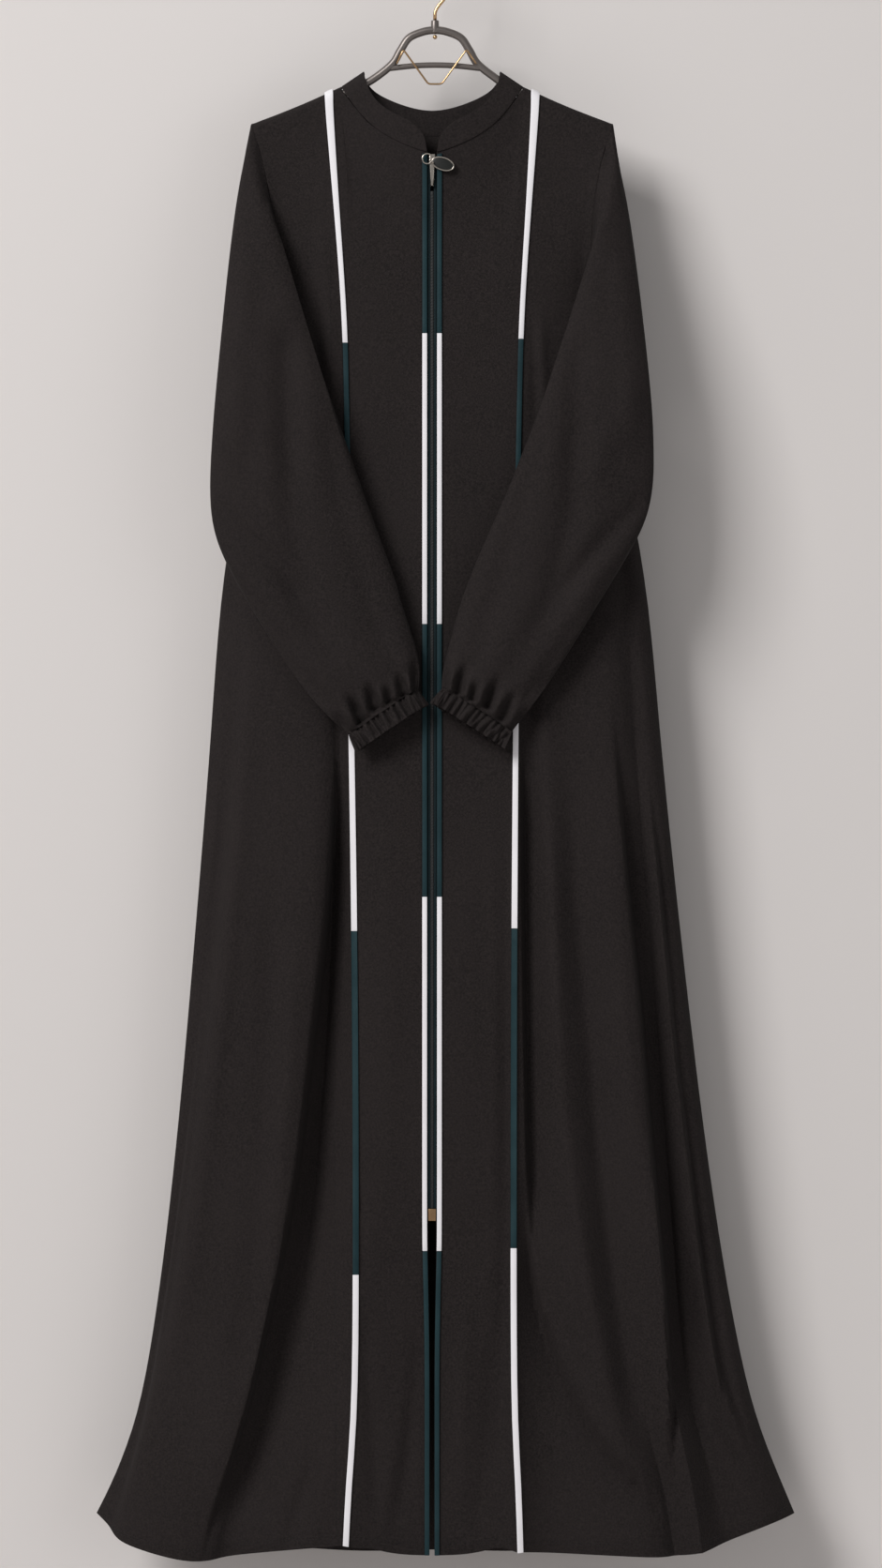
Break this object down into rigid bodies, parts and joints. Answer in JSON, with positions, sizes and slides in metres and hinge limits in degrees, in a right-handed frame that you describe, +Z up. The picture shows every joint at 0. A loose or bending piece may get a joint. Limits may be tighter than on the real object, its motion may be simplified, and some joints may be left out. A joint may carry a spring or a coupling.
{
  "type": "abaya on a hanger",
  "caption": "Long zip-front abaya with piped princess seams, pleated frill cuffs and a band collar, hung on a metal hanger.",
  "frame": {"origin": "inside top of the hanger's hook, where a rail carries it", "axes": "+Z up, the front faces -Y, +X to the right as seen from the front"},
  "size_m": [0.73, 0.1275, 1.6891],
  "materials": {
    "crepe": "matte black crepe with a fine grain",
    "white_trim": "matte white woven piping",
    "teal_trim": "dark teal satin-faced piping and zip tape",
    "zip_coil": "black nylon coil",
    "silver": "polished silver with a warm cast",
    "inlay": "dark glossy inlay",
    "gold": "polished pale gold",
    "taupe_metal": "taupe metallic lacquer"
  },
  "bodies": {
    "garment": {"back": "crepe", "binding_left_1": "teal_trim", "binding_left_2": "white_trim", "binding_left_3": "teal_trim", "binding_left_4": "white_trim", "binding_left_5": "teal_trim", "binding_right_1": "teal_trim", "binding_right_2": "white_trim", "binding_right_3": "teal_trim", "binding_right_4": "white_trim", "binding_right_5": "teal_trim", "collar": "crepe", "cuff_left": "crepe", "cuff_right": "crepe", "front_centre_left": "crepe", "front_centre_right": "crepe", "front_side_left": "crepe", "front_side_right": "crepe", "hanger_bead": "gold", "hanger_brace": "gold", "hanger_frame": "taupe_metal", "hanger_hook": "gold", "piping_left_1": "white_trim", "piping_left_2": "teal_trim", "piping_left_3": "white_trim", "piping_left_4": "teal_trim", "piping_left_5": "white_trim", "piping_right_1": "white_trim", "piping_right_2": "teal_trim", "piping_right_3": "white_trim", "piping_right_4": "teal_trim", "piping_right_5": "white_trim", "sleeve_left": "crepe", "sleeve_right": "crepe", "zip_chain": "zip_coil", "zip_end_box": "gold", "zip_slider": "silver", "zip_tape_left": "teal_trim", "zip_tape_right": "teal_trim"},
    "pull": {"zip_pull": "silver", "pull_inlay": "inlay"}
  },
  "joints": [
    {"name": "pull_swing", "type": "hinge", "parent": "garment", "child": "pull", "pos_m": [-0.005, -0.0225, -0.229], "axis": [0, 1, 0], "range_deg": [-18, 162]}
  ]
}
